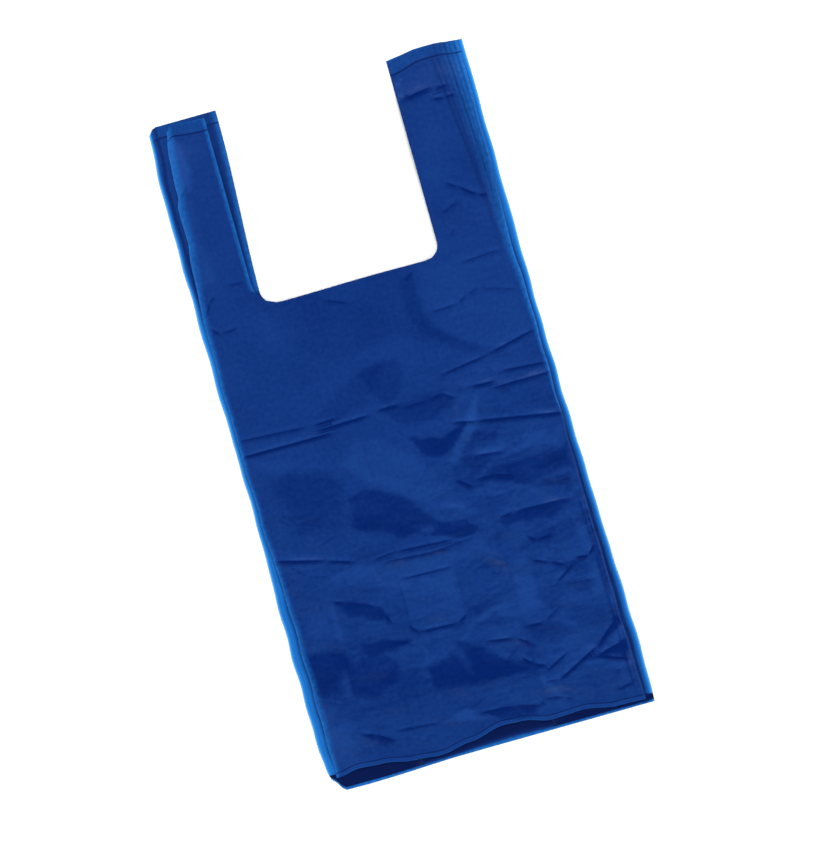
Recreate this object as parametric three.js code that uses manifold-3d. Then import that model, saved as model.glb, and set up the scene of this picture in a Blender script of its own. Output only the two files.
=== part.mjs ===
// Vest carrier bag: one length of blown film tube, pleated at both sides, welded across
// the bottom and the handle tops, and die-cut between the handles. It lies flat and empty.
// Millimetres. X runs across the bag, Y along it towards the handles, and Z up through the
// plies. The origin is under the middle of the bag, on the surface that it lies on.

import * as THREE from "three";
import { mergeVertices } from "three/addons/utils/BufferGeometryUtils.js";
import Module from "manifold-3d";

const bagHeight = 618; // from the bottom edge to the handle tops
const frontWidth = 298; // across the flat bag
const gussetDepth = 88; // how far each side pleat is tucked in
const film = 0.35; // wall of the film, drawn thick enough to be a solid
const air = 0.8; // gap left between two plies that lie loosely on each other
const cutWidth = 166; // of the die cut, from one handle to the other
const cutShift = 5.5; // how far off the middle the die struck, towards the left handle
const cutDepth = 182; // from the handle tops down to the edge of the mouth
const cutCorner = 14; // radius of the die cut where a handle meets the mouth
const weldWidth = 1.6; // the line where a hot bar melts all the plies together
const bottomSkirt = 11; // loose film left below the bottom weld
const handleSkirt = 11; // loose film left above each handle weld
const arcSteps = 8; // straight steps in each arc of an outline
const mergeDistance = 1e-4; // points nearer than this are one point

// The film's mid-line makes four plies over each pleat: back panel, lower and upper gusset
// ply, front panel. Neighbouring plies are one pitch apart.
const pitch = film + air;
const backLevel = film / 2;
const lowerGussetLevel = backLevel + pitch;
const upperGussetLevel = backLevel + 2 * pitch;
const frontLevel = backLevel + 3 * pitch;
const stackHeight = frontLevel + film / 2;

// Fold centres, set so that the film's outside reaches exactly the stated width and depth.
const foldReach = (pitch + film) / 2;
const outerFoldX = frontWidth / 2 - foldReach;
const innerFoldX = frontWidth / 2 - gussetDepth + foldReach;

const bottomY = -bagHeight / 2;
const topY = bagHeight / 2;

const wasm = await Module();
wasm.setup();

// The closed line that runs anticlockwise round the pleated section, at a distance outside
// the film's mid-line. Each pair of neighbouring plies is joined by a half-turn fold: the
// outer folds bulge away from the bag's middle, and the inner folds point towards it.
function pleatedOutline(PathClass, offset) {
  const outerFold = pitch / 2 + offset;
  const innerFold = pitch / 2 - offset;
  const middle = stackHeight / 2;
  const down = -Math.PI / 2;
  const up = Math.PI / 2;
  const path = new PathClass();
  path.moveTo(-outerFoldX, backLevel - offset);
  path.lineTo(outerFoldX, backLevel - offset);
  path.absarc(outerFoldX, middle - pitch, outerFold, down, up, false);
  path.lineTo(innerFoldX, lowerGussetLevel + offset);
  path.absarc(innerFoldX, middle, innerFold, down, up, true);
  path.lineTo(outerFoldX, upperGussetLevel - offset);
  path.absarc(outerFoldX, middle + pitch, outerFold, down, up, false);
  path.lineTo(-outerFoldX, frontLevel + offset);
  path.absarc(-outerFoldX, middle + pitch, outerFold, up, down, false);
  path.lineTo(-innerFoldX, upperGussetLevel - offset);
  path.absarc(-innerFoldX, middle, innerFold, up, down, true);
  path.lineTo(-outerFoldX, lowerGussetLevel + offset);
  path.absarc(-outerFoldX, middle - pitch, outerFold, up, down, false);
  return path;
}

// A section drawn in X and Z, carried along the bag from one Y to another.
function alongBag(shape, fromY, toY) {
  const geometry = new THREE.ExtrudeGeometry(shape, {
    depth: toY - fromY,
    bevelEnabled: false,
    curveSegments: arcSteps,
  });
  geometry.rotateX(Math.PI / 2);
  geometry.translate(0, toY, 0);
  return geometry;
}

// A closed geometry as a solid, its shared corners merged.
function toSolid(geometry) {
  const bare = new THREE.BufferGeometry();
  bare.setAttribute("position", geometry.getAttribute("position"));
  if (geometry.index) bare.setIndex(geometry.index);
  const merged = mergeVertices(bare, mergeDistance);
  return new wasm.Manifold(
    new wasm.Mesh({
      numProp: 3,
      vertProperties: new Float32Array(merged.getAttribute("position").array),
      triVerts: new Uint32Array(merged.index.array),
    }),
  );
}

function toGeometry(solid) {
  const mesh = solid.getMesh();
  const geometry = new THREE.BufferGeometry();
  geometry.setAttribute("position", new THREE.BufferAttribute(mesh.vertProperties, 3));
  geometry.setIndex(new THREE.BufferAttribute(mesh.triVerts, 1));
  geometry.computeVertexNormals();
  return geometry;
}

// The film itself: the section's outside line with its inside line taken out, full length.
function makeTube() {
  const section = pleatedOutline(THREE.Shape, film / 2);
  section.holes.push(pleatedOutline(THREE.Path, -film / 2));
  return toSolid(alongBag(section, bottomY, topY));
}

// A weld fills the inside of the bag and the two pleats, from mid-film to mid-film, so
// that it fuses every ply and leaves the outer faces flat.
function makeWeld(middleY) {
  const fromY = middleY - weldWidth / 2;
  const toY = middleY + weldWidth / 2;
  let weld = toSolid(alongBag(pleatedOutline(THREE.Shape, 0), fromY, toY));
  for (const side of [-1, 1]) {
    const filler = new THREE.BoxGeometry(outerFoldX - innerFoldX, weldWidth, pitch);
    filler.translate((side * (outerFoldX + innerFoldX)) / 2, middleY, stackHeight / 2);
    weld = weld.add(toSolid(filler));
  }
  return weld;
}

// The die cut between the handles: straight sides, rounded where they meet the mouth, and
// open past the handle tops and both faces. It is drawn about X = 0, and then shifted.
function makeHandleCut() {
  const margin = 5;
  const halfCut = cutWidth / 2;
  const mouthY = topY - cutDepth;
  const outline = new THREE.Shape();
  outline.moveTo(-halfCut, topY + margin);
  outline.lineTo(-halfCut, mouthY + cutCorner);
  outline.absarc(-halfCut + cutCorner, mouthY + cutCorner, cutCorner, Math.PI, 1.5 * Math.PI, false);
  outline.lineTo(halfCut - cutCorner, mouthY);
  outline.absarc(halfCut - cutCorner, mouthY + cutCorner, cutCorner, -0.5 * Math.PI, 0, false);
  outline.lineTo(halfCut, topY + margin);
  outline.closePath();
  const cutter = new THREE.ExtrudeGeometry(outline, {
    depth: stackHeight + 2 * margin,
    bevelEnabled: false,
    curveSegments: arcSteps,
  });
  cutter.translate(-cutShift, 0, -margin);
  return toSolid(cutter);
}

function makeBag() {
  const solid = makeTube()
    .add(makeWeld(bottomY + bottomSkirt))
    .add(makeWeld(topY - handleSkirt))
    .subtract(makeHandleCut());
  const blueFilm = new THREE.MeshStandardMaterial({
    name: "blue_film",
    color: new THREE.Color(0.016, 0.08, 0.29),
    roughness: 0.35,
    metalness: 0,
  });
  const bag = new THREE.Mesh(toGeometry(solid), blueFilm);
  bag.name = "carrier_bag";
  return bag;
}

const part = new THREE.Group();
part.add(makeBag());

export default part;
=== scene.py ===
import math

import bpy
import numpy as np
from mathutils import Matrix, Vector


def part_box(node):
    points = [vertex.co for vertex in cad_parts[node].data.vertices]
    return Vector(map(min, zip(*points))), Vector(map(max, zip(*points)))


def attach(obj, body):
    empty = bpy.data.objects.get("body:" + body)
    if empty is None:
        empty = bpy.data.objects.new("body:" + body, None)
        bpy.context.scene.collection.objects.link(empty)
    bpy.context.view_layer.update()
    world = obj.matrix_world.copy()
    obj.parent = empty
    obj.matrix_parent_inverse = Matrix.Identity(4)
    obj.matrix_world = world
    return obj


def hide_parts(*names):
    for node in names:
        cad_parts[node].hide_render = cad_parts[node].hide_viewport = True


# A vest carrier bag of thin blue film, lying flat and empty on a pale floor. Blender works in
# metres. The lists of folds, wrinkles and patches are in millimetres from the bag's middle,
# X across the bag to the right and Y along it towards the handles.
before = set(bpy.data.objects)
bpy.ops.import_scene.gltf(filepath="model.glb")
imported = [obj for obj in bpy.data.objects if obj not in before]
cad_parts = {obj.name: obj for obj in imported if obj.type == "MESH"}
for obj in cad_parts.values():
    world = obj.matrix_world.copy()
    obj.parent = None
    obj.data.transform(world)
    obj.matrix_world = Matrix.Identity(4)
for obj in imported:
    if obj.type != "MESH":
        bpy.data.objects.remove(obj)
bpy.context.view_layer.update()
mm = 0.001
bagLow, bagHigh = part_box("carrier_bag")
edgeX = bagHigh.x
bottomY = bagLow.y
topY = bagHigh.y
print("frame loaded, with the nodes", sorted(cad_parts))

camera = {
    "lean": 15.7,  # degrees that the handles lean to the left in the picture
    "height": 2.6,  # metres from the floor up to the camera
    "span": 0.758,  # metres of floor from the picture's bottom to its top
    "aimRight": 0.0119,  # metres from the bag's middle to the picture's middle
    "aimUp": -0.0044,
}


# A long lens straight above the bag, turned about its own axis by the lean.
def makeCamera():
    data = bpy.data.cameras.new("overhead")
    data.sensor_width = 36.0
    data.lens = data.sensor_width * camera["height"] / camera["span"]
    data.clip_end = 20.0
    lean = math.radians(camera["lean"])
    right = Vector((math.cos(lean), -math.sin(lean), 0.0))
    up = Vector((math.sin(lean), math.cos(lean), 0.0))
    overhead = bpy.data.objects.new("overhead", data)
    overhead.location = right * camera["aimRight"] + up * camera["aimUp"]
    overhead.location.z = camera["height"]
    overhead.rotation_euler = (0.0, 0.0, -lean)
    bpy.context.scene.collection.objects.link(overhead)
    bpy.context.scene.camera = overhead


makeCamera()
print("camera placed")

film = {
    "cutWidth": 166 * mm,  # die cut between the handles
    "cutShift": 5.5 * mm,  # of the cut, towards the left handle
    "cutDepth": 182 * mm,
    "cutCorner": 14 * mm,
    "gussetDepth": 88 * mm,
    "wall": 0.08 * mm,  # of the drawn film; the real one is 0.018 mm
    "plyGap": 0.40 * mm,  # between plies that lie loosely on each other
    "weldGap": 0.085 * mm,  # between plies melted together
    "bottomSkirt": 11 * mm,  # loose film below the bottom weld
    "handleSkirt": 11 * mm,  # loose film above the handle welds
    "frontSkirt": 4 * mm,  # the front's skirt below the weld, short because it curls up
    "bottomCorner": 13 * mm,  # how far the bottom left corner is cut back
    "topCorner": 6 * mm,  # and the left handle's outer top corner
    "frontStrap": 5.5 * mm,  # how far the left handle's front strap spreads outwards
    "backStrap": 6 * mm,  # and its back strap inwards
    "weldTilt": 3 * mm,  # of the right handle's weld
    "mouthBow": 0.8 * mm,  # rise of the mouth's edge at its middle
    "waver": 0.4 * mm,  # of the side edges
    "billow": 0.9 * mm,  # broad rise and fall of the front over the back
    "frontStep": 3.5 * mm,  # between columns of the front panel
    "foldStep": 1.7 * mm,  # the same near its side folds
    "rowStep": 3.1 * mm,  # between rows where the film is smooth
    "creasedTo": 52 * mm,  # the film is creased from its bottom up to here
    "creasedRows": 0.76,  # how many more rows the creased part has, as a share
    "wrinkles": 260,  # small seeded ones
}

# How far the front's side folds lie inside the bag's edge, by height: it is folded a little
# narrower than the back, which shows beside it. Millimetres, as in all the lists below.
rightInset = ((-309, 1.5), (-200, 3.5), (-100, 5), (60, 5), (130, 7), (200, 5), (309, 4))
leftInset = (
    (-309, 9), (-200, 9), (-140, 8.5), (-60, 5.5), (0, 4.5), (80, 4.2), (140, 5), (180, 8), (202, 10),
    (233, 10), (243, 13), (277, 14), (309, 19),
)
# How far the back's side edges lie outside a straight line, by height.
rightSpread = (
    (-309, 5.6), (-285, 6.4), (-250, 6.5), (-200, 5.5), (-150, 3.9), (-100, 2.8), (-20, 1.2), (60, 0.2),
    (309, 0),
)
leftSpread = (
    (-309, -4), (-290, -1.5), (-260, 0), (-160, 0.3), (-60, -1.3), (20, -0.8), (60, 0), (200, 0.2),
    (260, -0.2), (309, -3.2),
)
# How far in from the front's side folds it stays lighter with painted light through it, as fewer
# plies lie under it, by height.
rightGlow = (
    (-309, 0.1), (-60, 0.1), (20, 4), (60, 6), (100, 8), (160, 13), (210, 16), (240, 20), (270, 23),
    (309, 27),
)
leftGlow = (
    (-309, 6), (-230, 9), (-160, 7), (-60, 5), (60, 5), (150, 8), (200, 12), (240, 13), (280, 16),
    (309, 14),
)
# The front skirt's edge, which curls up and leaves the back skirt showing below it: across, height.
hemLine = (
    (-149, -300), (-118, -297), (-97, -298.5), (-66, -303.5), (-43, -305.5), (-14, -301), (17, -294.5),
    (34, -295.5), (61, -301.5), (90, -300.5), (121, -305.5), (149, -306.5),
)
# How high that edge curls up, along the bag's width.
hemCurl = (
    (-149, 0.1), (-110, 0.5), (-66, 0.3), (-40, 0.2), (17, 0.5), (61, 0.2), (90, 0.3), (149, 0.1),
)

# Creases of the front: from x, y to x, y, then height and width. Each is a narrow ridge.
creases = (
    (-146, 16, -80, 12, 0.30, 2.6), (-146, 1, -58, 0.5, 0.55, 2.0), (-75, 11.7, -52, 12.5, 0.40, 2.0),
    (-75, 6, -22, 7, 0.50, 2.0), (-16, 9, 5, 9, 0.45, 2.0), (6, 5, 34, 6, 0.25, 2.6),
    (34, 6, 45, 8, 0.40, 2.0), (45, 8, 55, 1, 0.40, 2.0), (70, 7, 96, 6, 0.50, 2.0),
    (100, 13.5, 146, 10, 0.42, 2.3), (88, 0.5, 148, 0.8, 0.45, 2.6), (46, 24, 96, 31, 0.35, 2.0),
    (94, 31, 143, 42, 0.45, 2.0), (46, -19.6, 71, -25, 0.45, 2.2), (68, -24, 147, -38, 0.60, 2.6),
    (77, -1, 66, -25, 0.20, 5.0), (66, -25, 34, -53, 0.20, 5.0), (57, -54, 85, -57, 0.40, 2.4),
    (52, -75, 72, -75, 0.45, 2.2), (71, -75, 88, -81, 0.55, 2.2), (50, -69, 66, -63, 0.12, 2.6),
    (36, -70, 50, -81, 0.50, 2.3), (64, -113.5, 78, -111.8, 0.35, 2.4),
    (78, -111.8, 132, -113.5, 0.38, 2.4), (-143, -96.5, -95, -109, 0.60, 2.5),
    (-97, -109, -70, -117, 0.45, 2.2), (-58, -120, -30, -117, 0.30, 2.0),
    (-35, -118, 20, -121, 0.35, 2.0), (-47, -124, 20, -129, 0.30, 2.0),
    (-20, -128, 40, -124, 0.25, 2.2), (-37, -143, 13, -144.5, 0.35, 1.9),
    (-40, -185, -33, -193, 0.40, 1.9), (-34, -193, 4, -195, 0.45, 2.0), (3, -195, 13, -189, 0.40, 1.9),
    (-38, -146, -38, -184, 0.15, 1.9), (14, -148, 13, -188, 0.12, 1.9),
    (-101, -146, -91, -149, 0.45, 2.0), (-92, -149, -58, -163, 0.24, 2.6),
    (-60, -163, -53, -182, 0.40, 2.3), (-60, -195, -43, -200, 0.50, 2.2),
    (21, -217, 50, -222, 0.45, 2.0), (50, -222, 65, -233, 0.50, 2.0), (50, -240, 58, -249, 0.50, 2.0),
    (58, -249, 70, -253, 0.50, 2.0), (66, -259, 92, -246, 0.45, 1.9), (75, -270, 119, -248, 0.70, 2.2),
    (119, -248, 145, -227, 0.65, 2.8), (116, -257, 145, -250, 0.60, 2.2),
    (116, -257, 145, -268, 0.55, 2.2), (-31, -277, -10, -274, 0.14, 2.8),
    (-10, -274, 13, -287, 0.20, 3.0), (-2, -278, 33, -281, 0.40, 2.2), (33, -281, 54, -286, 0.35, 2.2),
    (59, -264, 80, -287, 0.20, 5.0), (64, -267, 76, -268, 0.30, 2.0),
    (-108, -268, -95, -272, 0.35, 2.2), (-95, -272, -80, -282, 0.40, 2.4),
    (-78, -273, -35, -277, 0.30, 1.9), (-139, -246, 60, -250, 0.30, 7.0),
    (82, -158, 97, -164, 0.40, 2.0), (97, -164, 111, -170, 0.40, 2.0), (96, -185, 119, -170, 0.40, 2.3),
    (121, -166, 133, -168, 0.55, 2.0), (133, -168, 140, -159, 0.55, 2.0),
    (84, -136, 92, -142, 0.40, 2.0), (92, -142, 106, -140, 0.40, 2.0), (61, -214, 77, -215, 0.40, 1.9),
    (77, -215, 98, -204, 0.25, 1.9), (81, 272, 112, 277, 0.60, 2.8), (112, 273, 126, 275, 0.40, 2.2),
    (108, 266, 119, 264, 0.45, 2.0), (119, 264, 130, 265, 0.45, 2.0), (98, 191, 110, 183, 0.35, 2.2),
    (109, 184, 125, 171.5, 0.50, 2.4), (124, 171.5, 134, 170.5, 0.45, 2.2),
    (85, 163, 109, 172, 0.25, 2.4), (90, 142, 95, 148, 0.25, 2.0), (90, 117, 133, 119, 0.30, 1.8),
    (53, 81, 81, 82, 0.30, 1.9), (81, 82, 90, 88, 0.30, 1.9), (90, 88, 102, 91, 0.25, 1.9),
    (102, 91, 138, 80, 0.18, 2.2), (40, 115, 50, 122, 0.30, 1.9), (-140, 120, -132, 113.5, 0.30, 1.9),
    (-132, 113.5, -115, 115, 0.30, 1.9), (-128, 147, -135, 144, 0.30, 1.9),
    (-135, 144, -141, 131, 0.30, 1.9), (-117, 154, -97, 153.5, 0.20, 2.0),
    (-37, 119, -11, 108, 0.25, 2.4), (-137, 240, -124, 251, 0.30, 2.6),
    (138.5, -112, 141, -300, 0.22, 1.8), (142.5, -125, 143, -205, 0.24, 1.8),
    (79, 270, 82, 276, 0.30, 1.8), (59, -60, 60, -290, 0.12, 3.2), (-103, -186, -103, -242, 0.16, 2.8),
    (-35, 2, -35, -54, 0.12, 2.8), (-61, -100, -61, -290, 0.08, 3.2), (52, -287, 60, -281.5, 0.30, 2.0),
    (60, -281.5, 76, -284, 0.34, 2.0), (76, -284, 86, -290, 0.30, 2.0),
    (124, -292, 143, -288, 0.30, 2.0),
)

# Pleats down the right handle's outer edge: across at the top, across at the lower end, depth.
pleats = (
    (118.5, 132, 0.9), (123.5, 134, 0.7), (128.5, 137, 0.4), (133.3, 140, 0.9), (137.5, 142.5, 0.6),
    (142, 145, 0.6),
)

# Patches where the front clings to the film below and looks darker, or stands off it and looks
# lighter when the strength is negative: strength, softness, corners.
patches = (
    (0.45, 14, ((-122, -28), (-100, -22), (-76, -30), (-62, -45),
        (-66, -62), (-62, -80), (-85, -88), (-115, -84))),
    (0.85, 4, ((-60, -60), (-44, -56), (-14, -72), (2, -92),
        (12, -103), (-20, -108), (-46, -96), (-64, -88))),
    (0.90, 2.5, ((8, -102), (22, -104), (36, -108), (46, -119), (34, -122), (16, -118), (2, -112))),
    (1.00, 2.5, ((5, -22), (16, -26), (32, -30), (48, -26), (60, -19),
        (54, -30), (42, -41), (27, -47), (15, -42))),
    (0.50, 4, ((44, -52), (56, -37), (66, -32), (84, -36), (80, -48),
        (58, -51), (74, -58), (46, -84), (32, -66))),
    (0.80, 4, ((66, -68), (100, -68), (140, -68), (138, -84),
        (120, -88), (96, -90), (78, -84), (60, -78))),
    (0.50, 5, ((88, -88), (120, -92), (138, -90), (136, -100), (110, -98))),
    (0.80, 3, ((60, -117), (74, -113), (110, -113), (134, -115),
        (124, -120), (110, -126), (90, -122), (68, -121))),
    (0.22, 5, ((-90, 128), (50, 128), (49, 84), (57, 66), (84, 40),
        (40, 60), (20, 70), (-40, 60), (-80, 90))),
    (0.28, 4, ((34, 118), (46, 118), (47, 84), (54, 66), (90, 36),
        (80, 36), (56, 54), (40, 70), (34, 86))),
    (0.35, 5, ((-22, 46), (-4, 50), (14, 50), (16, 36), (8, 20), (-4, 8), (-16, 24))),
    (0.30, 5, ((-70, 18), (-45, 35), (-20, 47), (2, 52), (-10, 30), (-30, 14), (-60, 10))),
    (0.90, 6, ((-139, -186), (-120, -188), (-104, -192), (-100, -204),
        (-112, -214), (-116, -228), (-139, -224))),
    (0.65, 5, ((-104, -206), (-88, -202), (-66, -206), (-58, -216),
        (-66, -232), (-90, -240), (-106, -232))),
    (0.90, 4, ((-96, -150), (-80, -151), (-62, -162), (-54, -174),
        (-64, -174), (-78, -166), (-90, -160))),
    (0.85, 3, ((-86, -190), (-62, -192), (-42, -198), (-58, -203), (-82, -204))),
    (0.80, 4, ((-36, -226), (-14, -222), (-2, -212), (18, -221), (30, -234),
        (44, -246), (56, -251), (20, -253), (-32, -247))),
    (0.35, 8, ((-100, -226), (-60, -222), (-30, -226), (40, -236),
        (50, -246), (-20, -244), (-90, -243))),
    (0.75, 3, ((-2, -278), (18, -279), (36, -281), (55, -286), (48, -294), (30, -293), (10, -286))),
    (1.00, 2, ((115, -257), (130, -253), (144, -250), (145, -268), (130, -263))),
    (0.65, 3, ((-106, -268), (-92, -271), (-80, -281), (-90, -284), (-100, -276))),
    (0.90, 2.5, ((118, -248), (132, -236), (144, -224), (144, -234), (130, -243), (120, -252))),
    (0.50, 4, ((60, -214), (90, -216), (104, -230), (84, -236), (66, -228))),
    (0.45, 5, ((84, -132), (110, -136), (108, -146), (90, -146))),
    (0.55, 4, ((96, -158), (116, -168), (134, -164), (140, -176), (120, -182), (100, -172))),
    (0.45, 4, ((-10, 8), (20, 10), (46, 12), (54, -4), (30, -12), (6, -10), (-6, 0))),
    (0.12, 5, ((56, -2), (90, -4), (140, -10), (142, -32), (100, -24), (70, -16))),
    (-0.35, 6, ((-40, -10), (-16, -18), (8, -44), (46, -100),
        (28, -100), (-4, -76), (-40, -52), (-60, -30))),
    (-0.30, 8, ((-136, -6), (-100, -14), (-70, -26), (-60, -45), (-75, -28), (-120, -22))),
    (-0.85, 3, ((77, 0), (68, -6), (58, -24), (34, -52), (40, -56), (56, -42), (68, -28))),
    (-0.25, 4, ((-36, -144), (12, -145), (12, -188), (4, -193), (-32, -191), (-37, -184))),
    (-0.60, 3, ((-8, -214), (0, -216), (8, -246), (0, -244))),
    (-0.90, 2.5, ((-32, -277), (-12, -272), (4, -279), (14, -288), (-6, -283))),
    (-0.40, 10, ((-139, -235), (-112, -246), (-118, -292), (-139, -292))),
    (-0.20, 6, ((54, 122), (135, 122), (138, 40), (100, 34), (60, 64), (52, 84))),
    (-0.90, 5, ((-130, 300), (-122, 288), (-119, 262), (-124, 244), (-134, 244), (-135, 270))),
    (-0.35, 6, ((-138, 240), (-126, 236), (-124, 160), (-138, 158))),
    (-0.60, 3, ((130, -246), (142, -238), (142, -250))),
    (-0.35, 5, ((60, -40), (100, -46), (140, -50), (140, -64), (100, -60), (62, -60))),
    (-0.35, 6, ((58, -160), (78, -150), (80, -200), (60, -205))),
    (-0.25, 8, ((-90, -115), (-40, -128), (50, -126), (50, -142), (-60, -142), (-95, -130))),
    (-0.70, 2.5, ((58, -262), (64, -262), (72, -274), (82, -288), (76, -286), (64, -274))),
    (-0.35, 3, ((130, -140), (139, -140), (139, -160), (137, -205), (128, -205))),
    (0.40, 2, ((16, -186), (30, -181), (52, -188), (40, -190), (24, -190))),
    (0.40, 2, ((16, -200), (36, -198), (56, -204), (50, -209), (30, -203))),
    (0.35, 2, ((104, -186), (120, -188), (130, -196), (116, -196))),
    (-0.50, 2, ((2, -212), (10, -200), (30, -192), (48, -186),
        (50, -189), (30, -196), (14, -205), (6, -214))),
    (-0.40, 1.5, ((-104.5, -150), (-102, -150), (-102, -182), (-104.5, -182))),
    (-0.50, 1.5, ((-32, -208), (-29.5, -208), (-35, -236), (-37.5, -236))),
    # two painted highlights: glints along the right handle's edge by the die cut, as lighter patches
    (-1.30, 1.6, ((78, 283), (84, 292), (86, 292), (80, 281))),
    (-1.30, 1.6, ((78, 272), (80, 272), (84, 278), (82, 278))),
)


# From 0 to 1 as the value goes from low to high, level at both ends.
def step(value, low, high):
    share = np.clip((value - low) / (high - low), 0.0, 1.0)
    return share * share * (3.0 - 2.0 * share)


# A smooth line through listed (place, height) pairs, level at each of them.
def through(value, pairs):
    places, heights = np.array(pairs, float).T
    span = np.clip(np.searchsorted(places, value) - 1, 0, len(places) - 2)
    share = step(value, places[span], places[span + 1])
    return heights[span] * (1.0 - share) + heights[span + 1] * share


# Random gentle relief of about -1 to 1: a sum of cosines in random directions.
def ripples(x, y, wavelength, count, seed):
    draw = np.random.default_rng(seed)
    total = np.zeros_like(x)
    for _ in range(count):
        angle = draw.uniform(0.0, 2.0 * np.pi)
        rate = 2.0 * np.pi / (wavelength * draw.uniform(0.7, 1.4))
        along = np.cos(angle) * x + np.sin(angle) * y
        total += np.cos(rate * along + draw.uniform(0.0, 2.0 * np.pi))
    return total / math.sqrt(count)


# 1 inside a closed outline and 0 outside, softened about its edge: the distance to the nearest
# side, signed by how many sides a line towards +X crosses.
def inside(x, y, outline, softness):
    nearest = np.full_like(x, np.inf)
    crossings = np.zeros(x.shape, int)
    corners = np.array(outline, float)
    for (ax, ay), (bx, by) in zip(corners, np.roll(corners, -1, axis=0)):
        dx, dy = bx - ax, by - ay
        share = np.clip(((x - ax) * dx + (y - ay) * dy) / (dx * dx + dy * dy), 0.0, 1.0)
        nearest = np.minimum(nearest, np.hypot(x - ax - share * dx, y - ay - share * dy))
        if dy != 0.0:
            crossings += ((ay > y) != (by > y)) & (x < ax + (y - ay) * dx / dy)
    signed = np.where(crossings % 2 == 1, nearest, -nearest)
    return step(signed, -softness, softness)


# Height over the film of one crease: a ridge exp(-(distance / width)^2) beside its line, faded
# out at both ends.
def ridge(x, y, fromX, fromY, toX, toY, height, width):
    length = math.hypot(toX - fromX, toY - fromY)
    alongX, alongY = (toX - fromX) / length, (toY - fromY) / length
    along = (x - fromX) * alongX + (y - fromY) * alongY
    aside = ((y - fromY) * alongX - (x - fromX) * alongY) / width
    fade = min(0.35 * length, 12.0)
    ends = step(along, -0.4 * fade, fade) * step(length - along, -0.4 * fade, fade)
    return height * ends * np.exp(-aside * aside)


# Columns of the pleated tube's section, from the back's middle round to it again: how far
# across, on which ply (0 back, 1 and 2 gusset, 3 front), and how far round the film. Each
# side fold is a half turn between two plies.
def sectionColumns():
    radius = film["plyGap"] / 2
    outer = edgeX - radius
    inner = edgeX - film["gussetDepth"] + radius
    wideCut = film["cutWidth"] / 2 + film["cutShift"]
    narrowCut = film["cutWidth"] / 2 - film["cutShift"]
    margin = edgeX - 12 * mm
    nearFold = edgeX - 30 * mm

    # even columns of a flat ply, from one place across the bag to another
    def panel(fromX, toX, count, level):
        across = np.linspace(fromX, toX, count + 1)[:-1]
        return across, np.full_like(across, level)

    # a half circle from one ply to the next, bulging outwards, or inwards where bulge is negative
    def fold(atX, bulge, count, level):
        turn = np.linspace(0.0, np.pi, count + 1)[:-1]
        return atX + bulge * np.sin(turn), level + (1.0 - np.cos(turn)) / 2.0

    # one side of the bag, whose handle starts at cutEdge
    def side(cutEdge):
        corner = cutEdge - film["cutCorner"]
        smooth = outer - 0.3 * mm
        parts = [
            panel(0.0, corner, 2, 0.0),
            panel(corner, cutEdge, 3, 0.0),
            panel(cutEdge, margin, 2, 0.0),
            panel(margin, outer, 3, 0.0),
            fold(outer, radius, 4, 0.0),
            panel(outer, smooth, 1, 1.0),
            panel(smooth, margin, 3, 1.0),
            panel(margin, cutEdge + 8 * mm, 1, 1.0),
            panel(cutEdge + 8 * mm, cutEdge, 4, 1.0),
            panel(cutEdge, inner, 2, 1.0),
            fold(inner, -radius, 2, 1.0),
            panel(inner, cutEdge, 3, 2.0),
            panel(cutEdge, outer, 2, 2.0),
            fold(outer, radius, 4, 2.0),
            panel(outer, smooth, 1, 3.0),
            panel(smooth, nearFold, round((smooth - nearFold) / film["foldStep"]), 3.0),
            panel(nearFold, cutEdge + 1 * mm, round((nearFold - cutEdge) / film["frontStep"]), 3.0),
            panel(cutEdge + 1 * mm, cutEdge, 1, 3.0),
            panel(cutEdge, 0.0, round(cutEdge / film["frontStep"]), 3.0),
        ]
        return [np.concatenate(column) for column in zip(*parts)]

    rightX, rightLevel = side(narrowCut)
    leftX, leftLevel = side(wideCut)
    across = np.concatenate([rightX, [0.0], -leftX[:0:-1]])
    level = np.concatenate([rightLevel, [3.0], leftLevel[:0:-1]])
    lengths = np.hypot(np.diff(across, append=0.0), np.diff(level, append=0.0) * film["plyGap"])
    return across, level, np.concatenate([[0.0], np.cumsum(lengths)])


# Rows along the bag, spaced by the inverse of a density that rises at both ends and over the
# creased part. The nearest row is moved onto each weld.
def sectionRows():
    y = np.linspace(bottomY, topY, 3001)
    density = 1.0 + film["creasedRows"] * step(-y, -film["creasedTo"], 30 * mm - film["creasedTo"])
    nearEnd = 14 * mm
    density += 0.6 * np.exp(-(((y - bottomY) / nearEnd) ** 2))
    density += 0.9 * np.exp(-(((y - topY) / nearEnd) ** 2))
    total = np.concatenate([[0.0], np.cumsum((density[1:] + density[:-1]) / 2 * (y[1] - y[0]))])
    count = round(total[-1] / film["rowStep"])
    rows = np.interp(np.linspace(0.0, total[-1], count + 1), total, y)
    for weld in (bottomY + film["bottomSkirt"], topY - film["handleSkirt"]):
        rows[np.argmin(np.abs(rows - weld))] = weld
    return rows


# Distance outside the die cut between the handles, negative inside it, and the direction
# straight away from it: a slot without end towards +Y, with rounded bottom corners.
def fromCut(x, y):
    corner = film["cutCorner"]
    x = x + film["cutShift"]
    sideways = np.abs(x) - (film["cutWidth"] / 2 - corner)
    down = (topY - film["cutDepth"] + corner) - y
    distance = np.hypot(np.maximum(sideways, 0), np.maximum(down, 0))
    distance += np.minimum(np.maximum(sideways, down), 0) - corner
    around = (sideways > 0) & (down > 0)
    length = np.where(around, np.hypot(sideways, down), 1.0)
    awayX = np.where(around, sideways / length, (sideways > down).astype(float)) * np.sign(x)
    awayY = -np.where(around, down / length, (down >= sideways).astype(float))
    return distance, awayX, awayY


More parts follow.
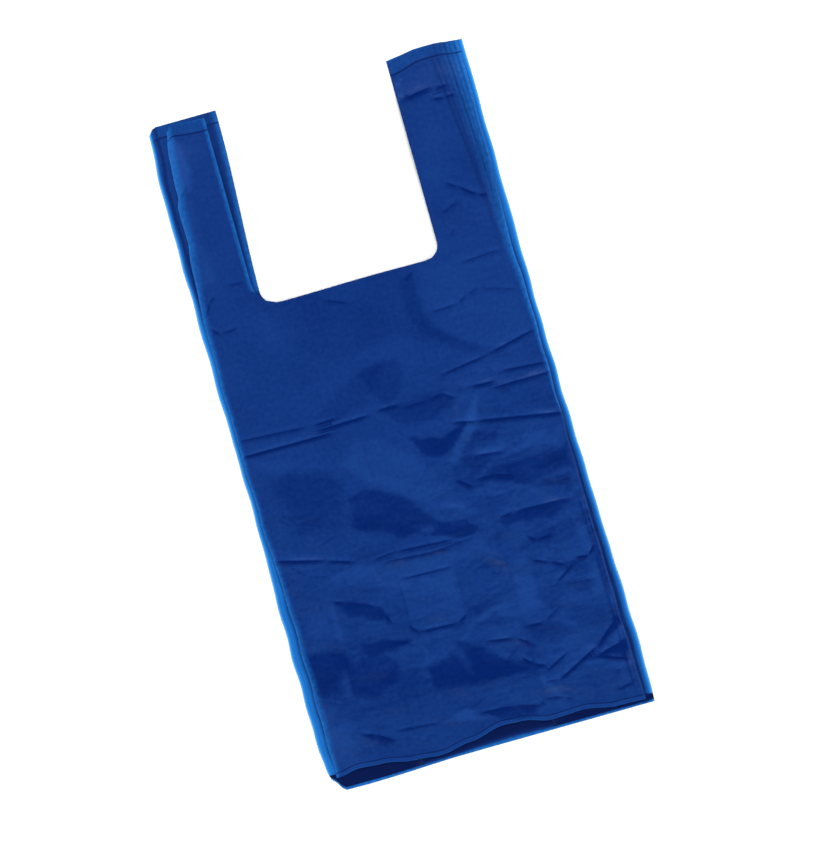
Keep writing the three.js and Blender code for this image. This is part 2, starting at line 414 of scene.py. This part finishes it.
# Faces of the closed tube as rows of four points, without those inside the cut, and the row
# and column of each corner. Points on the edge that is left are moved onto the cut's line.
def cutFaces(x, y, rows, columns):
    i, j = np.meshgrid(np.arange(rows - 1), np.arange(columns), indexing="ij")
    cornerRow = np.stack([i, i + 1, i + 1, i], -1).reshape(-1, 4)
    cornerColumn = np.stack([j, j, j + 1, j + 1], -1).reshape(-1, 4)
    faces = cornerRow * columns + cornerColumn % columns
    kept = fromCut(x[faces].mean(1), y[faces].mean(1))[0] > 0
    onEdge = np.intersect1d(faces[kept], faces[~kept])
    distance, awayX, awayY = fromCut(x[onEdge], y[onEdge])
    x[onEdge] -= distance * awayX
    y[onEdge] -= distance * awayY
    return faces[kept], cornerRow[kept], cornerColumn[kept]


# Where the film lies across the bag: its distance from the middle, less the listed insets for
# the upper plies, plus the listed spread for the lower ones and a small waver, each fading away
# from the side. The left handle's straps spread apart towards the top.
def placedAcross(x, y, upper):
    side = np.sign(x)
    reach = np.abs(x)
    inset = np.where(side > 0, through(y / mm, rightInset), through(y / mm, leftInset)) * mm
    gathered = inset * upper * step(reach, edgeX - 34 * mm, edgeX)
    waver = film["waver"] * ripples(y, side * 0.1, 50 * mm, 5, 3) * step(reach, edgeX - 20 * mm, edgeX)
    spread = np.where(side > 0, through(y / mm, rightSpread), through(y / mm, leftSpread)) * mm
    spread = spread * (1 - upper) * step(reach, edgeX - 40 * mm, edgeX)
    handle = step(y, 128 * mm, 150 * mm) * step(edgeX - reach, 15 * mm, 58 * mm) * (side < 0)
    backStrap = film["backStrap"] * step(y, 130 * mm, 300 * mm)
    strap = handle * (film["frontStrap"] * upper - backStrap * (1 - upper))
    return side * (reach - gathered + waver + spread + strap)


# Where it lies along the bag: its own place, shifted near the bottom weld so that the weld
# follows the hem. Below the weld the front skirt is short, and the back skirt reaches the bag's
# edge. The right handle's end is pulled askew, the left one's front lowered, and the outer
# corners cut back.
def placedAlong(x, y, level, upper):
    inner = edgeX - film["gussetDepth"]
    upper = np.where(level < 2.2, upper * step(np.abs(x), inner, inner + 24 * mm), upper)
    weld = bottomY + film["bottomSkirt"]
    hem = through(x / mm, hemLine) * mm
    weldShift = hem + film["frontSkirt"] - weld
    below = np.clip((weld - y) / film["bottomSkirt"], 0.0, 1.0)
    corner = film["bottomCorner"] * step(-x, edgeX - 16 * mm, edgeX) ** 2
    backEdge = bottomY - 1.6 * mm - 2.4 * mm * step(-x, 20 * mm, 110 * mm) + corner
    backEdge += 2.5 * mm * step(level, 0.3, 1.0)
    skirtFront = weld + weldShift - film["frontSkirt"] * below
    skirtBack = (weld + weldShift) * (1 - below) + backEdge * below
    skirt = skirtFront * upper + skirtBack * (1 - upper)
    along = np.where(y < weld, skirt, y + weldShift * step(-y, -weld - 70 * mm, -weld))
    handle = step(y, topY - 110 * mm, topY)
    raised = 1.0 * mm + 3.8 * mm * step(x, 78 * mm, 108 * mm) - 2.6 * mm * step(x, 122 * mm, 149 * mm)
    askew = np.where(x > 0, raised, 0.0)
    lowered = np.where(x < 0, 2.5 * mm * step(x, -132 * mm, -94 * mm) + 1.5 * mm, 0.0) * upper
    topCorner = film["topCorner"] * step(-x, edgeX - 8 * mm, edgeX) ** 2 * step(y, topY - 20 * mm, topY)
    fromTop = topY - y
    weldTilt = step(fromTop, 0.0, film["handleSkirt"]) * (1 - step(fromTop, film["handleSkirt"], 60 * mm))
    weldTilt *= film["weldTilt"] * (1 - step(x, 78 * mm, 112 * mm)) * (x > 0)
    mouthY = topY - film["cutDepth"]
    fromMiddle = ((x - 10 * mm) / (50 * mm)) ** 2 + ((y - mouthY) / (30 * mm)) ** 2
    bowed = film["mouthBow"] * np.exp(-fromMiddle)
    return along + handle * (askew - lowered) - topCorner - weldTilt + bowed


# Height of all the listed creases, in millimetres: the sum of their ridges.
def creaseHeight(x, y):
    total = np.zeros_like(x)
    for crease in creases:
        total += ridge(x, y, *crease)
    return total


# Small seeded wrinkles, listed as the creases are: a random middle, a mostly level direction,
# half a length to each side, and a height and width.
def makeWrinkles():
    draw = np.random.default_rng(11)
    made = []
    for _ in range(film["wrinkles"]):
        middleX, middleY = draw.uniform(-140, 140), draw.uniform(-292, 118)
        angle = draw.normal(0.0, 0.55)
        half = draw.uniform(5.0, 20.0)
        height, width = draw.uniform(0.1, 0.4), draw.uniform(1.8, 3.4)
        dx, dy = half * math.cos(angle), half * math.sin(angle)
        made.append((middleX - dx, middleY - dy, middleX + dx, middleY + dy, height, width))
    return made


wrinkles = makeWrinkles()


# For painted shade along each crease and a painted glint above it: the distance above the
# nearest crease's line, in millimetres, and how deep that crease is, from 0 to 1. A tall, narrow
# crease is deeper, and each fades at its ends and away from its line. The listed creases come
# before wrinkles.
def creaseLines(x, y):
    nearest = np.full_like(x, np.inf)
    above = np.zeros_like(x)
    depth = np.zeros_like(x)
    softer = 0.9 * crumpled(x, y)
    listed = [(crease, 0.0, 2.0) for crease in creases]
    listed += [(wrinkle, 5.0, softer) for wrinkle in wrinkles]
    for (fromX, fromY, toX, toY, height, width), behind, share in listed:
        if toX < fromX:
            fromX, fromY, toX, toY = toX, toY, fromX, fromY
        length = math.hypot(toX - fromX, toY - fromY)
        alongX, alongY = (toX - fromX) / length, (toY - fromY) / length
        along = (x - fromX) * alongX + (y - fromY) * alongY
        aside = (y - fromY) * alongX - (x - fromX) * alongY
        distance = np.hypot(aside, np.maximum(np.maximum(-along, along - length), 0.0))
        closer = distance + behind < nearest
        nearest = np.where(closer, distance + behind, nearest)
        above = np.where(closer, aside, above)
        fade = min(0.35 * length, 12.0)
        ends = step(along, 0.0, fade) * step(length - along, 0.0, fade)
        sharpness = (height - 0.09) * min(2.8 / width, 1.0) ** 2
        strength = np.clip(share * sharpness, 0.0, 1.0) * ends * (1.0 - step(distance, 2.5, 4.5))
        depth = np.where(closer, strength, depth)
    return np.clip(above, -8.0, 8.0), depth


# How crumpled the front is, from 0 to 1: most low down, and on the right.
def crumpled(x, y):
    low = step(-y, -20.0, 120.0)
    right = step(x, 15.0, 60.0) * step(-y, -60.0, 0.0)
    return np.clip(0.18 + 0.6 * low + 0.45 * right, 0.0, 1.0)


# Relief of the front in metres: its creases, pleats that fan down the right handle's outer edge,
# and a seeded crumple of flat facets between short ridges.
def frontRelief(x, y):
    x, y = x / mm, y / mm
    relief = 1.25 * creaseHeight(x, y)
    for topX, lowX, depth in pleats:
        line = lowX + (topX - lowX) * step(y, 150.0, 340.0)
        relief += depth * np.exp(-(((x - line) / 1.3) ** 2)) * step(y, 60.0, 190.0)
    facets = 1.2 * np.hypot(ripples(x / 1.8, y, 36.0, 7, 31), 0.25)
    facets += 0.5 * np.hypot(ripples(x / 2.0, y, 18.0, 7, 32), 0.2)
    ridges = np.zeros_like(x)
    for wrinkle in wrinkles:
        ridges += ridge(x, y, *wrinkle)
    return (relief + (1.8 + ridges - facets) * crumpled(x, y)) * mm


# Height of the film: plies one gap apart, closer at the welds, the front sinking onto the back
# where no pleat lies between them. The front billows over the rest, but not at its folds, and
# carries the relief. Its skirt curls up past the bottom weld.
def filmHeight(x, y, placedX, placedY, level, upper):
    fromWeld = np.minimum(y - bottomY - film["bottomSkirt"], topY - film["handleSkirt"] - y)
    pressed = 1 - step(fromWeld, 0.6 * mm, 28 * mm)
    gap = film["plyGap"] * (1 - pressed) + film["weldGap"] * pressed
    inner = edgeX - film["gussetDepth"]
    overPleat = step(np.abs(x), inner - 14 * mm, inner + 2 * mm)
    ply = level - 2 * step(level, 2.5, 3.0) * (1 - overPleat) * (1 - pressed)
    billow = film["billow"] * (0.9 + 0.5 * ripples(placedX, placedY, 90 * mm, 9, 5)).clip(0.1, 2)
    front = step(level, 2.2, 3.0)
    afloat = front * step(edgeX - np.abs(x), 0.0, 24 * mm)
    billow = billow * (0.15 + 0.85 * afloat) * (1 - 0.85 * pressed)
    relief = np.zeros_like(x)
    onFront = level > 2.2
    relief[onFront] = frontRelief(placedX[onFront], placedY[onFront])
    lowest = 1.05 * film["wall"] - gap - billow + 0.15 * billow / (0.15 + 0.85 * afloat)
    relief = np.maximum(relief * front * (1 - 0.8 * pressed), lowest)
    below = np.clip((bottomY + film["bottomSkirt"] - y) / film["bottomSkirt"], 0.0, 1.0)
    curl = through(placedX / mm, hemCurl) * mm * upper * below**1.5
    return film["wall"] / 2 + ply * gap + billow + relief + curl


# How much air lies under the front, with painted shade and highlight beside its creases, 0 where
# it clings to the film below and 1 where it stands off: an even share, less the listed patches,
# whose outlines waver, with a painted highlight a little above each crease and painted shade
# just below it.
def airAndShadeUnder(x, y):
    x, y = x / mm, y / mm
    wanderX = x + 0.8 * ripples(x, y, 18.0, 7, 21)
    wanderY = y + 0.8 * ripples(x, y, 18.0, 7, 22)
    airAndShade = 0.45 + 0.03 * ripples(x, y, 60.0, 8, 8)
    for strength, softness, outline in patches:
        airAndShade -= 0.38 * strength * inside(wanderX, wanderY, outline, 0.75 * softness)
    # painted highlight a little above each crease and painted shade just below it
    airAndShade += 0.12 * creaseHeight(x, y - 2.8) - 0.50 * creaseHeight(x, y + 0.9)
    return np.clip(airAndShade, 0.0, 1.5)


# Painted shade along the foot of each pleat: 1 there and 0 away from it, a sum of
# exp(-(distance / width)^2).
def pleatLines(x, y):
    x, y = x / mm, y / mm
    total = np.zeros_like(x)
    for topX, lowX, depth in pleats:
        line = lowX + (topX - lowX) * step(y, 150.0, 340.0)
        total += depth * np.exp(-(((x - line + 1.7) / 1.1) ** 2)) * step(y, 110.0, 190.0)
    return np.clip(total, 0.0, 1.0)


# How pale each point is with painted light through the thin film, from 0 to 1: the largest of
# the skirts and their open edges, the front near its side folds, the strap edges along the die
# cut, and the back strap on the left.
def paleFilm(x, y, level):
    front = level > 2.2
    toFold = edgeX - np.abs(x)
    glow = np.where(x > 0, through(y / mm, rightGlow), through(y / mm, leftGlow)) * mm
    strength = np.where(x > 0, 0.62, 0.48)
    pale = strength * np.clip(1.0 - toFold / glow, 0.0, 1.0) ** 1.5 * front
    topWeld = topY - film["handleSkirt"]
    bottomWeld = bottomY + film["bottomSkirt"]
    topSkirt = 0.07 * step(y, topWeld, topWeld + 1.5 * mm)
    bottomSkirt = 0.03 * step(-y, -bottomWeld, 1.5 * mm - bottomWeld)
    openEdge = 1 - step(np.minimum(y - bottomY, topY - y), 0.5 * mm, 2.5 * mm)
    edgeShare = np.where(y > 0, 0.20, np.where(level < 0.5, 0.75, 0.15 * front))
    pale = np.maximum(pale, np.maximum(topSkirt, bottomSkirt * front))
    pale = np.maximum(pale, edgeShare * openEdge)
    fromDieCut = fromCut(x, y)[0]
    onStrap = y > topY - film["cutDepth"] + film["cutCorner"]
    onStrap = onStrap * (x < 0)
    frontStrap = 0.40 * (1 - step(fromDieCut, 0.3 * mm, 3.5 * mm)) * onStrap * front
    backStrap = 0.38 * (1 - step(fromDieCut, 1 * mm, 6 * mm)) * onStrap * (1 - front)
    return np.maximum(pale, np.maximum(frontStrap, backStrap))


# How dark each point is, from 0 to 1: the larger of the painted shadow of the front skirt on the
# plies below, but not on the back's open edge, and a soft band on the back strap on the left.
def deepFilm(x, y, level):
    weld = bottomY + film["bottomSkirt"]
    shadow = step(-y, -weld, 1.5 * mm - weld) * (level <= 2.2)
    shadow = shadow * np.where(level < 0.5, step(y - bottomY, 0.5 * mm, 5 * mm), 1.0)
    onStrap = step(y, topY - film["cutDepth"] + film["cutCorner"], topY - 130 * mm)
    beside = np.exp(-(((fromCut(x, y)[0] - 8 * mm) / (3 * mm)) ** 2))
    return np.maximum(shadow, 0.45 * beside * onStrap * (level < 1.5) * (x < 0))


# The piece: the tube's grid of columns and rows, cut, put in its place by the functions above,
# and given what the finish reads.
def makeFilm():
    across, level, filmRound = sectionColumns()
    rows = sectionRows()
    x, y = (grid.ravel() for grid in np.meshgrid(across, rows))
    level = np.tile(level, len(rows))
    faces, cornerRow, cornerColumn = cutFaces(x, y, len(rows), len(across))

    upper = step(level, 1.0, 2.0)
    placedX = placedAcross(x, y, upper)
    placedY = placedAlong(x, y, level, upper)
    z = filmHeight(x, y, placedX, placedY, level, upper)

    # what the finish reads: how much air lies under the front, with painted shade and highlight at
    # its creases, where the film is paler with painted light through thin plies, where it is darker,
    # mostly with painted shade, how crumpled it is, and the lines along its creases for their
    # painted shade and glint
    front = level > 2.2
    airAndShade, above, creased = np.full_like(x, 0.5), np.zeros_like(x), np.zeros_like(x)
    airAndShade[front] = airAndShadeUnder(placedX[front], placedY[front])
    above[front], creased[front] = creaseLines(placedX[front] / mm, placedY[front] / mm)
    rough = crumpled(placedX / mm, placedY / mm) * upper
    # painted shade along the foot of each pleat: less pale and darker there
    line = pleatLines(placedX, placedY) * front
    pale = paleFilm(x, y, level) * (1 - 0.8 * line)
    deep = np.maximum(deepFilm(x, y, level), 0.42 * line)

    used, faces = np.unique(faces, return_inverse=True)
    points = np.stack([placedX, placedY, z], -1)[used]
    faces = faces.reshape(-1, 4)
    mesh = bpy.data.meshes.new("bag_film")
    mesh.from_pydata(points.tolist(), [], faces.tolist())
    flat = np.stack([filmRound[cornerColumn], rows[cornerRow] - bottomY], -1)
    mesh.uv_layers.new(name="film").data.foreach_set("uv", flat.astype(np.float32).ravel())
    given = {"airAndShade": airAndShade, "pale": pale, "deep": deep}
    given |= {"crumple": rough, "above": above, "creased": creased}
    for name, values in given.items():
        attribute = mesh.attributes.new(name, "FLOAT", "POINT")
        attribute.data.foreach_set("value", values[used].astype(np.float32))
    edgeOf = np.empty(len(mesh.loops), np.int32)
    mesh.loops.foreach_get("edge_index", edgeOf)
    boundary = np.bincount(edgeOf, minlength=len(mesh.edges)) == 1
    mesh.attributes.new("sharp_edge", "BOOLEAN", "EDGE").data.foreach_set("value", boundary)
    mesh.shade_smooth()
    mesh.update()
    bag = bpy.data.objects.new("bag_film", mesh)
    bpy.context.scene.collection.objects.link(bag)
    wall = bag.modifiers.new("wall", "SOLIDIFY")
    wall.thickness = film["wall"]
    wall.offset = 0.0
    top = round(points[:, 2].max() / mm, 1)
    print("film made:", len(points), "points,", len(faces), "faces, top at", top, "mm")
    return bag


# An output socket of a material's node tree, so that sums of sockets are written as sums.
class Wire:
    def __init__(self, tree, socket=None):
        self.tree = tree
        self.socket = socket

    # Any node: its settings first, then the values or wires of its inputs. Gives one output.
    def node(self, kind, settings, inputs, output=0):
        made = self.tree.nodes.new(kind)
        for name, value in settings.items():
            setattr(made, name, value)
        for name, value in inputs.items():
            if isinstance(value, Wire):
                self.tree.links.new(value.socket, made.inputs[name])
            else:
                made.inputs[name].default_value = value
        return Wire(self.tree, made.outputs[output] if made.outputs else None)

    # One Math node, with its values or wires in order.
    def maths(self, operation, *values):
        return self.node("ShaderNodeMath", {"operation": operation}, dict(enumerate(values)))

    def __add__(self, other):
        return self.maths("ADD", self, other)

    def __radd__(self, other):
        return self.maths("ADD", other, self)

    def __sub__(self, other):
        return self.maths("SUBTRACT", self, other)

    def __rsub__(self, other):
        return self.maths("SUBTRACT", other, self)

    def __mul__(self, other):
        return self.maths("MULTIPLY", self, other)

    def __rmul__(self, other):
        return self.maths("MULTIPLY", other, self)

    # The number without its sign.
    def size(self):
        return self.maths("ABSOLUTE", self)

    # The smaller of two.
    def least(self, other):
        return self.maths("MINIMUM", self, other)

    # The larger of two.
    def most(self, other):
        return self.maths("MAXIMUM", self, other)

    # From 0 at low to 1 at high, level at both ends.
    def between(self, low, high):
        settings = {"interpolation_type": "SMOOTHSTEP"}
        return self.node("ShaderNodeMapRange", settings, {0: self, 1: low, 2: high})

    # A colour between two others, by this share.
    def mixed(self, low, high):
        return self.node("ShaderNodeMix", {"data_type": "RGBA"}, {0: self, 6: low, 7: high}, 2)


finish = {
    "cling": (0.0003, 0.0130, 0.116, 1),  # where the front clings to the film below
    "loose": (0.0066, 0.0480, 0.232, 1),  # where it stands off
    "azure": (0.011, 0.180, 0.600, 1),  # painted light through one or two plies over the pale floor
    "rim": (0.110, 0.400, 0.790, 1),  # the back's outermost edge, paler still with painted light through it
    "deep": (0.0004, 0.0065, 0.060, 1),  # welds, and painted shade: plies in the shadow of the front, crease lines and streaks
    "rightFringe": (6.5 * mm, 10.0 * mm),  # azure border of painted light on the back, low down and on the handle
    "leftFringe": (13.0 * mm, 5.0 * mm),
    "roughness": (0.28, 0.42),  # where the front clings, and where it stands off
    "gloss": 0.22,
    "facets": (28.0, 66.0, 1.0),  # of them to a metre, round the film and along it
    "tint": (0.84, 0.92, 1.0, 1),  # of what the film reflects
    "creaseLine": 0.28,  # how much darker the painted shade line along a crease is
    "creaseShade": 0.24,  # and the shade below it
    "creaseGlint": 0.15,  # and how much lighter the glint above it is
    "mottle": 0.30,  # how much a fine cloudy unevenness shows
    "facetTone": 0.13,  # how much the painted shade of the small facets differs
    "facetLines": 0.03,  # and how much lighter the painted highlights along the lines between them are
    "bump": 0.8 * mm,  # height of the folds and streaks too fine for the mesh
}


# Places round the film of its folds: (right, left) of the back's, the gussets' and the front's.
def foldPlaces():
    across, level, filmRound = sectionColumns()
    return [filmRound[:-1][np.isclose(level, between)] for between in (0.5, 1.5, 2.5)]


# The blue film: a colour between cling and loose by how much air lies under it, with painted
# shade and highlights, azure with painted light where few plies lie over the floor, and darker
# at welds, with painted shade at creases and pleats and in painted shadow.
def filmMaterial():
    material = bpy.data.materials.new("blue_film")
    material.use_nodes = True
    tree = material.node_tree
    tree.nodes.clear()
    start = Wire(tree)

    # one of the piece's own numbers, by name
    def attribute(name):
        return start.node("ShaderNodeAttribute", {"attribute_name": name}, {}, "Fac")

    # cloudy noise with so many spots to a metre, round the film and along it
    def noise(scaleRound, scaleAlong, detail):
        scale = (scaleRound, scaleAlong, 1.0)
        stretched = start.node("ShaderNodeMapping", {}, {"Vector": flat, "Scale": scale})
        inputs = {"Vector": stretched, "Scale": 1.0, "Detail": detail}
        return start.node("ShaderNodeTexNoise", {}, inputs, "Fac")

    # painted shade and highlight of small facets: a tone for each cell of a warped net, and the
    # net's lines
    def facets(scale):
        stretched = start.node("ShaderNodeMapping", {}, {"Vector": flat, "Scale": scale})
        inputs = {"Vector": stretched, "Scale": 1.6, "Detail": 2.0}
        warp = start.node("ShaderNodeTexNoise", {}, inputs, "Color")
        moved = {0: warp, 1: (0.7, 0.7, 0.0), 2: stretched}
        warped = start.node("ShaderNodeVectorMath", {"operation": "MULTIPLY_ADD"}, moved)
        cells = {"Vector": warped, "Scale": 1.0}
        smoothed = {**cells, "Smoothness": 0.2}
        picked = start.node("ShaderNodeTexVoronoi", {"feature": "SMOOTH_F1"}, smoothed, "Color")
        toEdge = start.node("ShaderNodeTexVoronoi", {"feature": "DISTANCE_TO_EDGE"}, cells, "Distance")
        lines = 1.0 - toEdge.between(0.0, 0.07)
        return start.node("ShaderNodeSeparateXYZ", {}, {"Vector": picked}, "X"), lines

    airAndShade, pale, deep = attribute("airAndShade"), attribute("pale"), attribute("deep")
    crumple, above, creased = attribute("crumple"), attribute("above"), attribute("creased")
    flat = start.node("ShaderNodeUVMap", {"uv_map": "film"}, {})
    filmRound = start.node("ShaderNodeSeparateXYZ", {}, {"Vector": flat}, "X")
    filmAlong = start.node("ShaderNodeSeparateXYZ", {}, {"Vector": flat}, "Y")
    streaks = noise(420.0, 9.0, 2.0)
    mottle = noise(260.0, 260.0, 4.0)
    # fine folds: a bump, and painted highlights along their crests where the front is crumpled
    folds = 1.0 - (noise(45.0, 120.0, 2.0) * 2.0 - 1.0).size()
    tone, web = facets(finish["facets"])

    # distance from the back's side folds, where the border of the back turns azure with painted
    # light through it
    (backRight, backLeft), gussetFolds, frontFolds = foldPlaces()
    fromRight = (filmRound - float(backRight)).size()
    fromLeft = (filmRound - float(backLeft)).size()
    fromBack = fromRight.least(fromLeft)
    uneven = (streaks - 0.5) * 2.0 * mm
    onHandle = filmAlong.between(0.38, 0.47)
    rightLow, rightHigh = finish["rightFringe"]
    leftLow, leftHigh = finish["leftFringe"]
    rightEnd = onHandle * (rightHigh - rightLow) + rightLow
    leftEnd = onHandle * (leftHigh - leftLow) + leftLow
    rightBorder = 1.0 - (fromRight + uneven).between(0.5 * mm, rightEnd)
    leftBorder = 1.0 - (fromLeft + uneven).between(0.5 * mm, leftEnd)
    border = rightBorder.most(leftBorder)
    plyEdge = (fromBack + uneven * 0.8 - 3.6 * mm).size()
    border = border * (0.72 + 0.28 * plyEdge.between(0.2 * mm, 0.9 * mm))

    # the inner and upper folds, which are duller so that they don't catch the light
    foldEdge = None
    for place in (*gussetFolds, *frontFolds):
        atFold = 1.0 - (filmRound - float(place)).size().between(0.8 * mm, 2.0 * mm)
        foldEdge = atFold if foldEdge is None else foldEdge.most(atFold)

    # painted shade: dark streaks on the back beside the front low on the right, and down the left handle
    besideFront = 1.0 - (fromRight - 7.8 * mm).size().between(1.2 * mm, 3.0 * mm)
    besideFront = besideFront * (1.0 - filmAlong.between(0.20, 0.32)) * 0.45
    wander = (noise(3.0, 22.0, 1.0) - 0.5) * 6.0 * mm
    wavyPleat = 1.0 - (fromLeft + wander - 6.8 * mm).size().between(0.7 * mm, 2.4 * mm)
    streak = besideFront.most(wavyPleat * onHandle * 0.55)

    # distance from the welds
    length = topY - bottomY
    fromBottom = (filmAlong - film["bottomSkirt"]).size()
    fromTop = (filmAlong - (length - film["handleSkirt"])).size()
    weld = 1.0 - fromBottom.least(fromTop).between(0.35 * mm, 0.95 * mm)

    # painted shade and highlight: each crease has a fine dark line along it, shade below that, and
    # a glint above
    core = creased * (1.0 - (above + 0.3).size().between(0.25, 1.1))
    shade = creased * above.between(-4.2, -0.3) * (1.0 - above.between(-0.3, 1.0))
    glint = creased * (1.0 - (above - 1.9).size().between(0.2, 1.5))

    # how far the film stands off what lies below it, which sets its colour, with painted shade and
    # highlights of the creases, the fine folds and the small facets
    standAndShade = airAndShade + (mottle - 0.5) * finish["mottle"] + (folds - 0.75) * crumple * 0.35
    standAndShade = standAndShade + ((tone - 0.5) * finish["facetTone"] + web * finish["facetLines"]) * crumple
    standAndShade = standAndShade + glint * finish["creaseGlint"] - shade * finish["creaseShade"]
    standAndShade = standAndShade - core * finish["creaseLine"]
    colour = standAndShade.between(0.0, 1.0).mixed(finish["cling"], finish["loose"])
    # painted light through few plies: azure at the back's border, at the pale places and at painted
    # highlights where the film stands far off, and paler still at the back's very edge
    azure = border.most(pale * (0.25 + mottle * 1.5)).most((standAndShade - 0.85) * 0.9)
    colour = azure.mixed(colour, finish["azure"])
    rim = (1.0 - fromBack.between(0.2 * mm, 2.0 * mm)) * 0.75
    colour = rim.mixed(colour, finish["rim"])
    # darker at welds, and painted shade: the front skirt's shadow, pleat and crease lines, and the
    # streaks
    weldLine = weld * (1.0 - border) * (0.35 + mottle * 0.9)
    dark = weldLine.most(deep).most(core * 0.30).most(streak)
    colour = dark.mixed(colour, finish["deep"])
    smooth, dull = finish["roughness"]
    roughness = smooth + standAndShade * (dull - smooth) + (mottle - 0.5) * 0.10 + foldEdge * 0.6
    height = folds * folds * crumple * 0.22 + mottle * 0.10 + streaks * 0.06
    relief = {"Height": height, "Distance": finish["bump"], "Strength": 0.7}
    normal = start.node("ShaderNodeBump", {}, relief)
    shader = start.node(
        "ShaderNodeBsdfPrincipled",
        {},
        {
            "Base Color": colour,
            "Roughness": roughness,
            "Normal": normal,
            "IOR": 1.54,
            "Specular IOR Level": finish["gloss"],
            "Specular Tint": finish["tint"],
        },
    )
    start.node("ShaderNodeOutputMaterial", {}, {"Surface": shader})
    return material


studio = {
    "floorColour": (0.95, 0.95, 0.95, 1),
    "floorHalf": 2.4,  # metres from its middle to its side
    "ambient": 0.03,  # light from all round
    "backdrop": 0.97,  # how bright the background looks beyond the floor
    # name, place, side in metres, power in watts
    "softboxes": (
        ("top_softbox", (0.7, 2.6, 1.5), 1.6, 120),
        ("left_softbox", (-2.6, -0.4, 1.4), 1.6, 62),
        ("right_softbox", (2.6, -0.9, 1.4), 1.6, 58),
        ("low_softbox", (-0.8, -2.7, 1.6), 1.6, 34),
    ),
}


# A square floor just below the bag, softboxes that face its middle, and a world that looks pale
# to the camera but gives little light.
def makeStage():
    half = studio["floorHalf"]
    mesh = bpy.data.meshes.new("floor")
    corners = [(x, y, 0.0) for x, y in ((-half, -half), (half, -half), (half, half), (-half, half))]
    mesh.from_pydata(corners, [], [(0, 1, 2, 3)])
    floor = bpy.data.objects.new("floor", mesh)
    floor.location.z = -0.1 * mm
    bpy.context.scene.collection.objects.link(floor)
    material = bpy.data.materials.new("pale_floor")
    material.use_nodes = True
    shader = material.node_tree.nodes["Principled BSDF"]
    shader.inputs["Base Color"].default_value = studio["floorColour"]
    shader.inputs["Roughness"].default_value = 0.9
    mesh.materials.append(material)
    for name, place, side, power in studio["softboxes"]:
        data = bpy.data.lights.new(name, "AREA")
        data.size = side
        data.energy = power
        light = bpy.data.objects.new(name, data)
        light.location = place
        light.rotation_euler = Vector(place).to_track_quat("Z", "Y").to_euler()
        bpy.context.scene.collection.objects.link(light)
    world = bpy.data.worlds.new("studio")
    world.use_nodes = True
    background = world.node_tree.nodes["Background"]
    background.inputs["Color"].default_value = (1, 1, 1, 1)
    seen = Wire(world.node_tree).node("ShaderNodeLightPath", {}, {}, "Is Camera Ray")
    strength = seen * (studio["backdrop"] - studio["ambient"]) + studio["ambient"]
    world.node_tree.links.new(strength.socket, background.inputs["Strength"])
    bpy.context.scene.world = world
    bpy.context.scene.view_settings.view_transform = "Standard"


bagFilm = makeFilm()
bagFilm.data.materials.append(filmMaterial())
print("finish made")
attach(bagFilm, "root")
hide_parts("carrier_bag")
makeStage()
print("stage and lights made")
